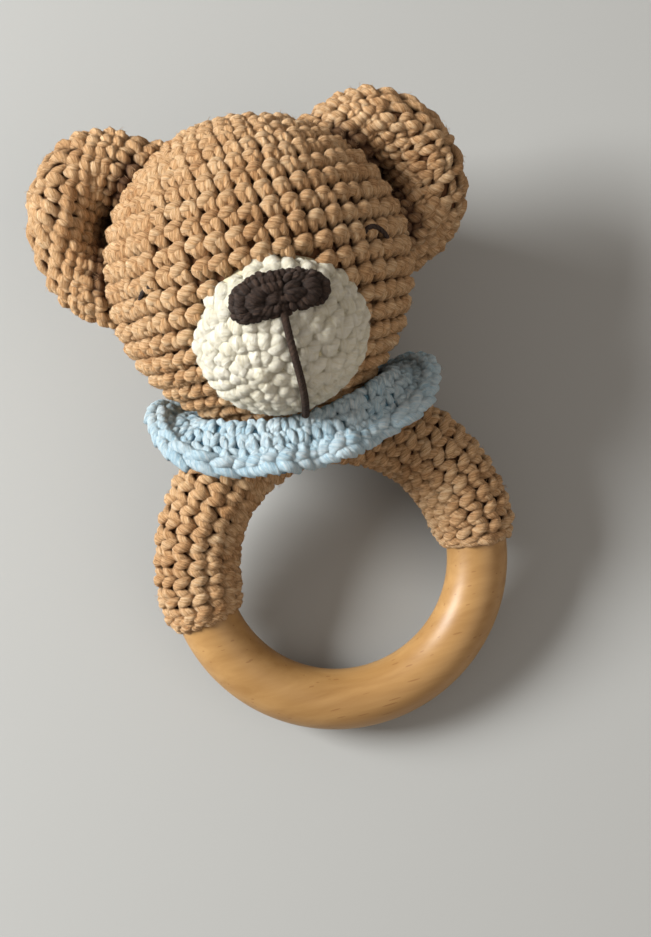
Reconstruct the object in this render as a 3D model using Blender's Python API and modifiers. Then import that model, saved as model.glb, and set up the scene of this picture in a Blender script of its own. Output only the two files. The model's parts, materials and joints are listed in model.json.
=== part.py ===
"""Baby rattle: a crocheted bear head with a rattle capsule, sewn on a beech ring.

The toy is modelled in its own frame: X to its left ear's far side, Y from the
centre of the ring to the centre of the head, Z out of the face.  At the end
one empty tips the whole toy back, so that it lies face up on a table, on the
ring's rim and on the flattened back of the head.
"""

import math

import bmesh
import bpy
from mathutils import Matrix, Vector

MM = 0.001
GAP = 0.3 * MM                  # clearance between pieces that touch

# Wooden ring and the crocheted sleeve round its upper part
RING_R = 28.8 * MM              # centre of the ring to the centre of its stock
RING_STOCK = 6.2 * MM
SLEEVE_R = 8.8 * MM
SLEEVE_END_R = 7.5 * MM
SLEEVE_EDGE_R = 7.9 * MM        # the chain edge stands up as a small cord
SLEEVE_ARC = math.radians(97.5)  # to each side of the head
SLEEVE_EDGE = 1.8 * MM          # length of the chain edge along the ring
SLEEVE_TAPER = 6.0 * MM
SEAM_ARC = math.radians(88.0)   # the sleeve's seam, to each side of the head
SEAM_SWING = 1.3 * MM           # half the width of a whip stitch

# Head
HEAD_R = 31.0 * MM
HEAD_WALL = 2.5 * MM
HEAD_Y = 60.6 * MM
BACK_FLAT = 1.4 * MM            # how far the back of the head is pressed flat
CAPSULE_R = 14.0 * MM
CAPSULE_WALL = 1.5 * MM
CAPSULE_LIP = 1.2 * MM
PELLET_R = 2.0 * MM
PELLET_LANES = [-8.8 * MM, -4.4 * MM, 0.0, 4.4 * MM, 8.8 * MM]

# Muzzle, nose and eyes
MUZZLE_DOWN = math.radians(31.0)
MUZZLE_R = 17.2 * MM
MUZZLE_DEPTH = 12.5 * MM
MUZZLE_OUT = 24.0 * MM          # head centre to the widest part of the muzzle
MUZZLE_WALL = 2.2 * MM
NOSE_DOWN = math.radians(9.5)
NOSE_OUT = 34.3 * MM
NOSE_SIDE = 0.8 * MM            # sewn on a little off centre
NOSE_SIZE = (9.4 * MM, 4.7 * MM, 3.2 * MM)
NOSE_SAG = 1.2 * MM             # how far its two lobes hang
MOUTH_SIDE = 0.6 * MM
MOUTH_START = math.radians(-26.0)   # under the nose, from the muzzle's axis
MOUTH_END = math.radians(64.0)
THREAD_R = 0.6 * MM
SEAM_R = 0.5 * MM
EYE_POINTS = [(19.8, 1.2), (21.2, 1.9), (22.6, 1.5), (23.7, 0.1), (24.3, -1.6)]

# Ears
EAR_MIDDLE = {"left": math.radians(31.5), "right": math.radians(22.0)}    # up from the side
EAR_ROOT = math.radians(35.5)       # its root on the head, to each side of its middle
EAR_HINGE = (29.5 * MM, 1.0 * MM)   # way out and forward
EAR_GAP = 0.5 * MM
EAR_OVAL_OUT = 31.0 * MM            # head centre to the centre of the ear's oval
EAR_REACH = 16.5 * MM
EAR_HALF_WIDTH = 19.3 * MM
EAR_RIM = 7.5 * MM              # how far its fat rim comes forward
EAR_BACK = 2.8 * MM             # how far its back stands out
EAR_SINK = 2.2 * MM             # how far the middle of its root lies back
EAR_CENTRE_OUT = 37.0 * MM      # head centre to the middle of the ear
EAR_SEAM_FRONT = (1.7 * MM, 2.7 * MM)   # forward of the ear's front

# Collar
COLLAR_THICK = 2.0 * MM
COLLAR_SIDE = 9.8 * MM          # length of its fabric at the sides and the back
COLLAR_FRONT = 9.5 * MM         # and at the front
COLLAR_CLIMB = 2.0 * MM         # how far its front is sewn up the head from the neck
COLLAR_WAVES = 9
COLLAR_WAVE = 1.1 * MM
COLLAR_LIFT = 0.25 * MM         # keeps its inner edge clear of the neck seam
SIDE_SLOPE = (math.radians(2.0), math.radians(8.0))     # at its inner edge and its rim
FRONT_SLOPE = (math.radians(35.0), math.radians(84.0))
REAR_SLOPE = (math.radians(-8.0), math.radians(-20.0))
COLLAR_LEAN = math.radians(12.0)    # its left side stands higher than its right

COLOURS = {
    "beech": ((0.66, 0.42, 0.22), 0.45),
    "brown_yarn": ((0.50, 0.28, 0.15), 0.95),
    "cream_yarn": ((0.78, 0.72, 0.56), 0.95),
    "blue_yarn": ((0.36, 0.54, 0.64), 0.95),
    "dark_yarn": ((0.06, 0.025, 0.02), 0.95),
    "wadding": ((0.90, 0.90, 0.88), 1.0),
    "clear_plastic": ((0.80, 0.82, 0.84), 0.25),
    "red_pellet": ((0.70, 0.08, 0.06), 0.35),
}

TILT = math.asin((HEAD_R - BACK_FLAT - RING_STOCK) / (RING_R + HEAD_Y))
DOWN = Vector((0.0, -math.sin(TILT), -math.cos(TILT)))   # the floor's direction
HEAD = Vector((0.0, HEAD_Y, 0.0))
MUZZLE_AXIS = Vector((0.0, -math.sin(MUZZLE_DOWN), math.cos(MUZZLE_DOWN)))


# ---------------------------------------------------------------- helpers

def clear_scene():
    """Remove whatever the scene starts with."""
    for obj in list(bpy.data.objects):
        bpy.data.objects.remove(obj, do_unlink=True)


def make_collection(name):
    """Make a collection under the scene."""
    collection = bpy.data.collections.new(name)
    bpy.context.scene.collection.children.link(collection)
    return collection


clear_scene()
PARTS = make_collection("baby_rattle")
CUTTERS = make_collection("cutters")
CUTTERS.hide_render = True


def give_material(obj, node_name, look):
    """Give a piece a material of its own."""
    colour, roughness = COLOURS[look]
    material = bpy.data.materials.new(node_name + "_material")
    material.use_nodes = True
    shader = material.node_tree.nodes["Principled BSDF"]
    shader.inputs["Base Color"].default_value = (*colour, 1.0)
    shader.inputs["Roughness"].default_value = roughness
    shader.inputs["Metallic"].default_value = 0.0
    material.diffuse_color = (*colour, 1.0)
    obj.data.materials.append(material)


def add_mesh(name, bm, look=None):
    """Turn a bmesh into a smooth-shaded part, or into a cutter when it has no look."""
    mesh = bpy.data.meshes.new(name)
    bm.to_mesh(mesh)
    bm.free()
    mesh.shade_smooth()
    obj = bpy.data.objects.new(name, mesh)
    if look:
        PARTS.objects.link(obj)
        give_material(obj, name, look)
    else:
        CUTTERS.objects.link(obj)
        obj.display_type = "WIRE"
        obj.hide_render = True
    return obj


def turn_to(axis):
    """Rotation that takes +Z to the given axis and keeps +X."""
    z = axis.normalized()
    x = Vector((1.0, 0.0, 0.0))
    y = z.cross(x)
    return Matrix((x, y, z)).transposed().to_4x4()


def ball(name, centre, sizes, look=None, segments=28, rings=14, turn=Matrix()):
    """An ellipsoid with its own half sizes along its X, Y and Z."""
    bm = bmesh.new()
    bmesh.ops.create_uvsphere(bm, u_segments=segments, v_segments=rings, radius=1.0)
    bmesh.ops.transform(bm, matrix=Matrix.Diagonal((*sizes, 1.0)), verts=bm.verts[:])
    obj = add_mesh(name, bm, look)
    obj.matrix_world = Matrix.Translation(centre) @ turn
    return obj


def block(name, centre, sizes, turn=Matrix()):
    """A box-shaped cutter with full sizes."""
    bm = bmesh.new()
    bmesh.ops.create_cube(bm, size=1.0)
    bmesh.ops.transform(bm, matrix=Matrix.Diagonal((*sizes, 1.0)), verts=bm.verts[:])
    obj = add_mesh(name, bm)
    obj.matrix_world = Matrix.Translation(centre) @ turn
    return obj


def turn_round(obj, steps, flip=False):
    """Spin a part's profile once round its own Z axis."""
    screw = obj.modifiers.new("spin", "SCREW")
    screw.axis = "Z"
    screw.steps = steps
    screw.render_steps = steps
    screw.use_merge_vertices = True
    screw.merge_threshold = 0.00001
    screw.use_normal_calculate = True
    screw.use_normal_flip = flip
    screw.use_smooth_shade = True


def donut(name, stock, look=None, segments=60, sides=16):
    """A torus round the ring's axis."""
    bm = bmesh.new()
    bmesh.ops.create_circle(bm, segments=sides, radius=stock)
    turn = Matrix.Rotation(math.pi / 2.0, 4, "X")
    bmesh.ops.transform(bm, matrix=Matrix.Translation((RING_R, 0, 0)) @ turn, verts=bm.verts[:])
    obj = add_mesh(name, bm, look)
    turn_round(obj, segments)
    return obj


def cut(obj, cutter):
    """Subtract a cutter from a part."""
    boolean = obj.modifiers.new("cut_" + cutter.name, "BOOLEAN")
    boolean.operation = "DIFFERENCE"
    boolean.solver = "EXACT"
    boolean.object = cutter


def strand(name, points, radius, look, cyclic=False, radii=None, resolution=1):
    """A round strand along a row of points, converted to a closed mesh."""
    curve = bpy.data.curves.new(name, "CURVE")
    curve.dimensions = "3D"
    curve.bevel_depth = radius
    curve.bevel_resolution = resolution
    curve.use_fill_caps = not cyclic
    spline = curve.splines.new("POLY")
    spline.points.add(len(points) - 1)
    spline.use_cyclic_u = cyclic
    for index, point in enumerate(points):
        spline.points[index].co = (*point, 1.0)
        spline.points[index].radius = radii[index] if radii else 1.0
    source = bpy.data.objects.new(name + "_curve", curve)
    CUTTERS.objects.link(source)
    bpy.context.view_layer.update()
    mesh = bpy.data.meshes.new_from_object(source.evaluated_get(bpy.context.evaluated_depsgraph_get()))
    bpy.data.objects.remove(source, do_unlink=True)
    bm = bmesh.new()
    bm.from_mesh(mesh)
    bmesh.ops.remove_doubles(bm, verts=bm.verts[:], dist=0.00001)
    bm.to_mesh(mesh)
    bm.free()
    mesh.name = name
    mesh.shade_smooth()
    mesh.materials.clear()
    obj = bpy.data.objects.new(name, mesh)
    PARTS.objects.link(obj)
    give_material(obj, name, look)
    return obj


def set_origin(obj, point):
    """Move a part's origin to a point and leave the part where it is."""
    obj.data.transform(Matrix.Translation(-Vector(point)))
    obj.matrix_world = Matrix.Translation(point)


def blend(low, high, share):
    """Smooth step between two values."""
    share = min(max(share, 0.0), 1.0)
    return low + (high - low) * share * share * (3.0 - 2.0 * share)


# ---------------------------------------------------------------- ring and sleeve

def on_ring(angle, radius, height=0.0):
    """Point at an angle from the head's side of the ring."""
    return Vector((radius * math.sin(angle), radius * math.cos(angle), height))


def make_ring():
    """The bare beech ring, free to turn inside its sleeve."""
    donut("wood_ring", RING_STOCK, "beech")


def make_sleeve():
    """The crocheted tube round the ring, narrower at its ends."""
    count = 48
    points = []
    radii = []
    for index in range(count + 1):
        angle = -SLEEVE_ARC + 2.0 * SLEEVE_ARC * index / count
        from_end = (SLEEVE_ARC - abs(angle)) * RING_R
        radius = blend(SLEEVE_END_R, SLEEVE_R, (from_end - SLEEVE_EDGE) / SLEEVE_TAPER)
        if 0.1 * SLEEVE_EDGE < from_end < SLEEVE_EDGE:
            radius = SLEEVE_EDGE_R
        points.append(on_ring(angle, RING_R))
        radii.append(radius / SLEEVE_R)
    sleeve = strand("ring_sleeve", points, SLEEVE_R, "brown_yarn", radii=radii, resolution=4)
    cut(sleeve, donut("ring_bore", RING_STOCK + GAP))


def make_sleeve_seam():
    """Whip stitches that close the sleeve on the ring's inner side."""
    count = 48
    radius = RING_R - SLEEVE_R - GAP - SEAM_R - 0.1 * MM
    points = []
    for index in range(count + 1):
        angle = SEAM_ARC * (2.0 * index / count - 1.0)
        side = SEAM_SWING if index % 2 else -SEAM_SWING
        points.append(on_ring(angle, radius, side))
    strand("sleeve_seam", points, SEAM_R, "brown_yarn")


# ---------------------------------------------------------------- head and its filling

def make_head(sleeve_room):
    """The crocheted skin of the head, open at the neck and pressed flat at the back."""
    head = ball("head_shell", HEAD, [HEAD_R] * 3, "brown_yarn", 40, 20)
    cut(head, ball("head_inside", HEAD, [HEAD_R - HEAD_WALL] * 3))
    cut(head, sleeve_room)
    centre = HEAD + DOWN * (2.0 * HEAD_R - BACK_FLAT)
    turn = Matrix.Rotation(-TILT, 4, "X")
    cut(head, block("table_plane", centre, [2.0 * HEAD_R] * 3, turn))


def make_stuffing(sleeve_room):
    """Two halves of wadding round the capsule."""
    pocket = ball("capsule_pocket", HEAD, [CAPSULE_R + GAP] * 3)
    for name, side in (("stuffing_front", 1.0), ("stuffing_back", -1.0)):
        half = ball(name, HEAD, [HEAD_R - HEAD_WALL - 2.0 * GAP] * 3, "wadding", 24, 12)
        centre = HEAD - Vector((0.0, 0.0, side * (HEAD_R - GAP / 2.0)))
        cut(half, block(name + "_split", centre, [2.0 * HEAD_R] * 3))
        cut(half, pocket)
        cut(half, sleeve_room)


def capsule_profile(side):
    """Half section of a capsule half, as radius and height, with its snap lip."""
    inner = CAPSULE_R - CAPSULE_WALL
    middle = inner + CAPSULE_WALL / 2.0
    steps = 8
    low = GAP / 2.0
    outline = []
    for index in range(steps + 1):
        angle = math.pi / 2.0 * (1.0 - index / steps)
        height = max(CAPSULE_R * math.sin(angle), low)
        outline.append((CAPSULE_R * math.cos(angle), height))
    if side < 0.0:
        outline += [(middle - GAP / 2.0, low), (middle - GAP / 2.0, -CAPSULE_LIP)]
        outline += [(inner, -CAPSULE_LIP)]
    else:
        groove = CAPSULE_LIP + GAP
        outline += [(middle + GAP / 2.0, low), (middle + GAP / 2.0, groove)]
        outline += [(math.sqrt(inner ** 2 - groove ** 2), groove)]
    for index in range(1, steps + 1):
        angle = math.pi / 2.0 * index / steps
        height = inner * math.sin(angle)
        if height > outline[-1][1]:
            outline.append((inner * math.cos(angle), height))
    return outline


def make_capsule():
    """The rattle's two snap-together shells, turned from their half section."""
    turns = 24
    for name, side in (("capsule_front", 1.0), ("capsule_back", -1.0)):
        bm = bmesh.new()
        verts = [bm.verts.new((max(r, 0.0), 0.0, side * z)) for r, z in capsule_profile(side)]
        for first, second in zip(verts, verts[1:]):
            bm.edges.new((first, second))
        shell = add_mesh(name, bm, "clear_plastic")
        shell.location = HEAD
        turn_round(shell, turns, flip=True)


def make_pellets():
    """Five pellets, each lying at the lowest point of its own lane."""
    room = CAPSULE_R - CAPSULE_WALL - PELLET_R - GAP
    for number, lane in enumerate(PELLET_LANES, start=1):
        place = HEAD + Vector((lane, 0.0, 0.0)) + DOWN * math.sqrt(room ** 2 - lane ** 2)
        pellet = ball(f"pellet_{number}", place, [PELLET_R] * 3, "red_pellet", 12, 8)
        pellet.data.transform(Matrix.Translation(place - HEAD))
        pellet.location = HEAD


# ---------------------------------------------------------------- face

def make_muzzle(face):
    """The cream muzzle cup and the wadding that fills it."""
    centre = HEAD + MUZZLE_AXIS * MUZZLE_OUT
    turn = turn_to(MUZZLE_AXIS)

    def dome(name, inset, look=None):
        round_size = MUZZLE_R - inset
        sizes = (round_size, round_size, MUZZLE_DEPTH - inset)
        return ball(name, centre, sizes, look, turn=turn)

    patch = dome("muzzle_patch", 0.0, "cream_yarn")
    cut(patch, dome("muzzle_inside", MUZZLE_WALL))
    cut(patch, face)
    cut(dome("muzzle_stuffing", MUZZLE_WALL + GAP, "wadding"), face)
    return dome("muzzle_room", -GAP)


def muzzle_point(across, around, lift):
    """Point over the muzzle: an angle from its axis to the toy's bottom, and a lift."""
    axis = MUZZLE_AXIS
    low = Vector((0.0, -axis.z, axis.y))
    along = low * (MUZZLE_R + lift) * math.sin(around) + axis * (MUZZLE_DEPTH + lift) * math.cos(around)
    return HEAD + axis * MUZZLE_OUT + along + Vector((across, 0.0, 0.0))


def make_nose(face, muzzle_room):
    """A bean-shaped nose on the upper edge of the muzzle."""
    axis = Vector((0.0, -math.sin(NOSE_DOWN), math.cos(NOSE_DOWN)))
    centre = HEAD + axis * NOSE_OUT + Vector((NOSE_SIDE, 0.0, 0.0))
    nose = ball("nose", centre, NOSE_SIZE, "dark_yarn", turn=turn_to(axis))
    for vert in nose.data.vertices:
        share = vert.co.x / NOSE_SIZE[0]
        vert.co.y += NOSE_SAG * (0.4 - share * share)
    cut(nose, face)
    cut(nose, muzzle_room)


def make_mouth():
    """One strand from the nose down to the lower edge of the muzzle."""
    count = 16
    points = []
    for index in range(count + 1):
        around = MOUTH_START + (MOUTH_END - MOUTH_START) * index / count
        points.append(muzzle_point(MOUTH_SIDE, around, GAP + THREAD_R))
    strand("mouth_thread", points, THREAD_R, "dark_yarn")


def make_eyes():
    """Two closed eyes, each one embroidered arc."""
    reach = HEAD_R + GAP + THREAD_R
    for name, side in (("eye_left", -1.0), ("eye_right", 1.0)):
        points = []
        for across, up in EYE_POINTS:
            flat = Vector((side * across * MM, up * MM, 0.0))
            flat.z = math.sqrt(reach ** 2 - flat.length_squared)
            points.append(HEAD + flat)
        strand(name, points, THREAD_R, "dark_yarn")


def make_muzzle_seam():
    """The sewing thread round the muzzle's foot."""
    lift = GAP + SEAM_R
    count = 48
    foot = 0.0
    while (muzzle_point(0.0, foot, lift) - HEAD).length > HEAD_R + lift + 0.1 * MM:
        foot += math.radians(0.1)
    axial = MUZZLE_AXIS * (MUZZLE_OUT + (MUZZLE_DEPTH + lift) * math.cos(foot))
    radius = (MUZZLE_R + lift) * math.sin(foot)
    side = MUZZLE_AXIS.cross(Vector((1.0, 0.0, 0.0)))
    points = []
    for index in range(count):
        angle = 2.0 * math.pi * index / count
        wave = 0.35 * MM if index % 2 else 0.0
        flat = Vector((math.cos(angle), 0.0, 0.0)) + side * math.sin(angle)
        points.append(HEAD + axial + flat * (radius + wave) + MUZZLE_AXIS * wave)
    strand("muzzle_seam", points, SEAM_R, "cream_yarn", cyclic=True)


# ---------------------------------------------------------------- ears

def ear_outline(angle):
    """Reach of an ear's outline from its own centre, at an angle from its way out."""
    out = math.cos(angle)
    along = math.sin(angle)
    root_r = HEAD_R + EAR_GAP
    from_oval = EAR_CENTRE_OUT - EAR_OVAL_OUT
    # the outer edge is an oval
    a = (out / EAR_REACH) ** 2 + (along / EAR_HALF_WIDTH) ** 2
    b = 2.0 * from_oval * out / EAR_REACH ** 2
    c = (from_oval / EAR_REACH) ** 2 - 1.0
    reach = (-b + math.sqrt(b * b - 4.0 * a * c)) / (2.0 * a)
    # the root follows the head
    towards = EAR_CENTRE_OUT * out
    under = towards * towards - EAR_CENTRE_OUT ** 2 + root_r ** 2
    if out < 0.0 and under > 0.0:
        reach = min(reach, -towards - math.sqrt(under))
    return reach


def ear_edge(out, along):
    """0 in the middle of an ear's root, 1 on its outer edge."""
    return min(1.0, math.hypot((out - EAR_OVAL_OUT) / EAR_REACH, along / EAR_HALF_WIDTH))


def ear_front(edge):
    """How far forward an ear's front lies: a fat rim round a hollow at its root."""
    return EAR_RIM * max(0.0, math.sin(math.pi * edge ** 1.5)) ** 0.8


def make_ears():
    """Two padded, cupped ears, each with its origin on its root."""
    for name, side in (("right", 1.0), ("left", -1.0)):
        middle = EAR_MIDDLE[name]
        outward = Vector((side * math.cos(middle), math.sin(middle), 0.0))
        upward = Vector((-side * outward.y, side * outward.x, 0.0))
        bm = bmesh.new()
        bmesh.ops.create_uvsphere(bm, u_segments=32, v_segments=12, radius=1.0)
        for vert in bm.verts:
            x, y, z = vert.co
            flat = math.hypot(x, y)
            angle = math.atan2(y, x)
            spread = flat ** 0.8 * ear_outline(angle)
            out = EAR_CENTRE_OUT + spread * math.cos(angle)
            along = spread * math.sin(angle)
            edge = ear_edge(out, along)
            place = outward * out + upward * along
            place.z = ear_front(edge) * z ** 0.3 if z > 0.0 else EAR_BACK * z
            place.z -= EAR_SINK * (1.0 - edge) ** 2
            vert.co = HEAD + place
        if side < 0.0:
            bmesh.ops.reverse_faces(bm, faces=bm.faces[:])
        ear = add_mesh("ear_" + name, bm, "brown_yarn")
        out, forward = EAR_HINGE
        set_origin(ear, HEAD + outward * out + Vector((0.0, 0.0, forward)))


def make_ear_seams():
    """Whip stitches on the head along the front of each ear's root."""
    count = 22
    reach = HEAD_R + GAP + SEAM_R
    for name, side in (("left", -1.0), ("right", 1.0)):
        points = []
        for index in range(count + 1):
            turn = EAR_ROOT * (1.8 * index / count - 0.9)
            angle = EAR_MIDDLE[name] + turn
            near = reach + EAR_GAP
            edge = ear_edge(near * math.cos(turn), near * math.sin(turn))
            forward = EAR_SEAM_FRONT[index % 2] + ear_front(edge)
            flat = math.sqrt(reach ** 2 - forward ** 2)
            spot = Vector((side * flat * math.cos(angle), flat * math.sin(angle), forward))
            points.append(HEAD + spot)
        strand(f"ear_{name}_seam", points, SEAM_R, "brown_yarn")


# ---------------------------------------------------------------- neck and collar

def neck_point(angle, lift):
    """Where a surface `lift` off the head meets a surface `lift` off the sleeve."""
    low = 4.0 * MM
    high = 26.0 * MM
    for _ in range(40):
        reach = (low + high) / 2.0
        x = reach * math.cos(angle)
        z = reach * math.sin(angle)
        y = HEAD_Y - math.sqrt((HEAD_R + lift) ** 2 - reach ** 2)
        if math.hypot(math.hypot(x, y) - RING_R, z) < SLEEVE_R + lift:
            low = reach
        else:
            high = reach
    return Vector((x, y, z))


def make_neck_seam():
    """The thread that sews the head to the sleeve."""
    count = 36
    points = [neck_point(2.0 * math.pi * i / count, GAP + SEAM_R) for i in range(count)]
    strand("neck_seam", points, SEAM_R, "brown_yarn", cyclic=True)


def make_collar():
    """The ruffled collar: it hangs in front, is flat at the sides and rises behind the head."""
    around = 72
    rows = 6
    bm = bmesh.new()
    grid = []
    for column in range(around):
        angle = 2.0 * math.pi * column / around
        hang = blend(0.0, 1.0, (math.sin(angle) - 0.10) / 0.60)
        rear = blend(0.0, 1.0, (0.05 - math.sin(angle)) / 0.45)
        length = COLLAR_SIDE + (COLLAR_FRONT - COLLAR_SIDE) * hang
        lean = COLLAR_LEAN * math.cos(angle)
        lift = GAP + COLLAR_THICK / 2.0 + COLLAR_LIFT
        neck = neck_point(angle, lift)
        reach = math.hypot(neck.x, neck.z) + COLLAR_CLIMB * hang
        outward = Vector((math.cos(angle), 0.0, math.sin(angle)))
        level = HEAD.y - math.sqrt((HEAD_R + lift) ** 2 - reach ** 2)
        spot = outward * reach + Vector((0.0, level, 0.0))
        line = []
        for row in range(rows + 1):
            share = row / rows
            start, end = (side + (front - side) * hang + (back - side) * rear
                          for side, front, back in zip(SIDE_SLOPE, FRONT_SLOPE, REAR_SLOPE))
            slope = start + (end - start) * min(1.0, share * 2.5) + lean
            along = outward * math.cos(slope) - Vector((0.0, math.sin(slope), 0.0))
            normal = outward * math.sin(slope) + Vector((0.0, math.cos(slope), 0.0))
            wave = COLLAR_WAVE * share * share * (1.0 - math.cos(COLLAR_WAVES * (angle - math.pi / 2.0)))
            wave = wave * (1.0 - 0.8 * rear)
            line.append(bm.verts.new(spot + normal * wave))
            spot = spot + along * (length / rows)
        grid.append(line)
    for column in range(around):
        line = grid[column]
        after = grid[(column + 1) % around]
        for row in range(rows):
            bm.faces.new((line[row], line[row + 1], after[row + 1], after[row]))
    collar = add_mesh("collar", bm, "blue_yarn")
    solid = collar.modifiers.new("thickness", "SOLIDIFY")
    solid.thickness = COLLAR_THICK
    solid.offset = 0.0


# ---------------------------------------------------------------- assembly

def lie_down():
    """Tip the toy back on a table and centre it over the origin."""
    stand = bpy.data.objects.new("rattle_frame", None)
    PARTS.objects.link(stand)
    pieces = [obj for obj in PARTS.objects if obj is not stand]
    for obj in pieces + list(CUTTERS.objects):
        obj.parent = stand
    stand.rotation_euler = (TILT, 0.0, 0.0)
    stand.location = (0.0, 0.0, RING_R * math.sin(TILT) + RING_STOCK)
    bpy.context.view_layer.update()
    depsgraph = bpy.context.evaluated_depsgraph_get()
    spots = []
    for obj in pieces:
        shown = obj.evaluated_get(depsgraph)
        spots += [shown.matrix_world @ vert.co for vert in shown.data.vertices]
    for axis in range(2):
        places = [spot[axis] for spot in spots]
        stand.location[axis] = -(min(places) + max(places)) / 2.0


make_ring()
make_sleeve()
make_sleeve_seam()
sleeve_room = donut("sleeve_room", SLEEVE_R + GAP)
make_head(sleeve_room)
make_stuffing(sleeve_room)
make_capsule()
make_pellets()
face = ball("face_room", HEAD, [HEAD_R + GAP] * 3, None, 48, 24)
muzzle_room = make_muzzle(face)
make_nose(face, muzzle_room)
make_mouth()
make_eyes()
make_muzzle_seam()
make_ears()
make_ear_seams()
make_neck_seam()
make_collar()
lie_down()
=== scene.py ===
"""Looks of the crocheted bear rattle: every visible stitch is two or three plied strands.

The toy's own frame is used throughout, in millimetres: x across, u from the centre of the
ring to the centre of the head, f out of the face.  world() takes points from it to the
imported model's frame, in metres.
"""

import json
import math

import bpy
import numpy as np
from mathutils import Matrix, Vector

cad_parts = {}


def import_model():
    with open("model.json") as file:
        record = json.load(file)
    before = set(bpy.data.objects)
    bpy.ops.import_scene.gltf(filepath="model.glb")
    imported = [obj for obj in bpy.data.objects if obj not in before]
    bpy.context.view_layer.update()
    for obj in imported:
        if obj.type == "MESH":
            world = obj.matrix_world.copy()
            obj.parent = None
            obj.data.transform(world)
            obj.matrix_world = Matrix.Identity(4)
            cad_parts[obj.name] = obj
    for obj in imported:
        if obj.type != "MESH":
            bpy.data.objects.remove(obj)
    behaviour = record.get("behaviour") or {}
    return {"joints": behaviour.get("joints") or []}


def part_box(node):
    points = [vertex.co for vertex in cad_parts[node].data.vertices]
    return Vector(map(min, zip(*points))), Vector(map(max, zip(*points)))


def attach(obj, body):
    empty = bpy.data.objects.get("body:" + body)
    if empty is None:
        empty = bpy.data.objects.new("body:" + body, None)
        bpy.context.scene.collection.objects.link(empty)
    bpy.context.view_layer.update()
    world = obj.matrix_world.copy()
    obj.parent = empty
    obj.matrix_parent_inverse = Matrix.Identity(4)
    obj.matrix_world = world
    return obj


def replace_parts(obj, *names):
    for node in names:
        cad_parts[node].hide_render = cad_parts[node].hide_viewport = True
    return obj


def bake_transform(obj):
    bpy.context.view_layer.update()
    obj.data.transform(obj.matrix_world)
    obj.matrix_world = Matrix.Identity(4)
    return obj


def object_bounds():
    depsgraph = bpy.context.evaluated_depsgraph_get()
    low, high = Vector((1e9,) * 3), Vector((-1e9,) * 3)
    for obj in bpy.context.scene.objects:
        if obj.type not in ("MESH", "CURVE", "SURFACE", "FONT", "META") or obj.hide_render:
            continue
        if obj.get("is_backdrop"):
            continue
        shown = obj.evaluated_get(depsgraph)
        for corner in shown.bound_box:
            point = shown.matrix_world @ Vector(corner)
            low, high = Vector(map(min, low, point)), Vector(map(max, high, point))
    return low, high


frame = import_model()
cad_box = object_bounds()

MM = 0.001
FULL_TURN = 2.0 * math.pi
JOINTS = {joint["name"]: joint for joint in frame["joints"]}
RING_CENTRE = np.array(JOINTS["ring_turn"]["pos_m"])
HEAD_CENTRE = np.array(JOINTS["first_pellet_roll"]["pos_m"])
FACE = np.array(JOINTS["ring_turn"]["axis"])
FACE = FACE / np.linalg.norm(FACE)
HEAD_U = np.linalg.norm(HEAD_CENTRE - RING_CENTRE) / MM
UP = (HEAD_CENTRE - RING_CENTRE) / (HEAD_U * MM)
ACROSS = np.cross(UP, FACE)
BASIS = np.stack([ACROSS, UP, FACE])


def half_width(node):
    """Half of a CAD node's width, in millimetres."""
    low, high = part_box(node)
    return (high.x - low.x) / 2.0 / MM


HEAD_R = half_width("head_shell")
RING_TUBE = 6.2  # radius of the ring's stock
RING_R = half_width("wood_ring") - RING_TUBE
SLEEVE_OUT = 8.8  # radius of the sleeve's tube
SLEEVE_ARC = math.radians(97.5)

RNG = np.random.default_rng(11)
HEAD = np.array([0.0, HEAD_U, 0.0])
SIDEWAYS = np.array([1.0, 0.0, 0.0])
UPWARD = np.array([0.0, 1.0, 0.0])
FORWARD = np.array([0.0, 0.0, 1.0])


def world(points):
    """From the toy's frame in millimetres to the model's frame in metres."""
    return RING_CENTRE + (np.asarray(points) * MM) @ BASIS


def unit(vectors):
    """Vectors scaled to length one."""
    return vectors / np.maximum(np.linalg.norm(vectors, axis=-1, keepdims=True), 1e-9)


def full_circle(count):
    """Angles that go once round in even steps."""
    return np.linspace(0.0, FULL_TURN, count + 1)[:-1]


def ease(share):
    """Smooth step from 0 to 1."""
    share = np.clip(share, 0.0, 1.0)
    return share * share * (3.0 - 2.0 * share)


def lifted(base):
    """A surface(turn, row, lift) that stands off base(turn, row) along its normal."""
    step = 0.02

    def surface(turn, row, lift):
        along_turn = base(turn + step, row) - base(turn - step, row)
        along_row = base(turn, row + step) - base(turn, row - step)
        normal = unit(np.cross(along_row, along_turn))
        return base(turn, row) + normal * np.asarray(lift)[..., None]

    return surface


# ---- meshes

PLIES = 3  # yarns twisted into one strand
HIGHEST = 1.4  # strand height over the ground with no painted shade, the lightest colour
DEEPEST = -1.0  # and with full painted shade, the darkest colour
FLOOR_GAP = 0.05 * MM  # lowest height of the yarn over z = 0
GROUND_GAP = 0.1 * MM  # and of the ground under it


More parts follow.
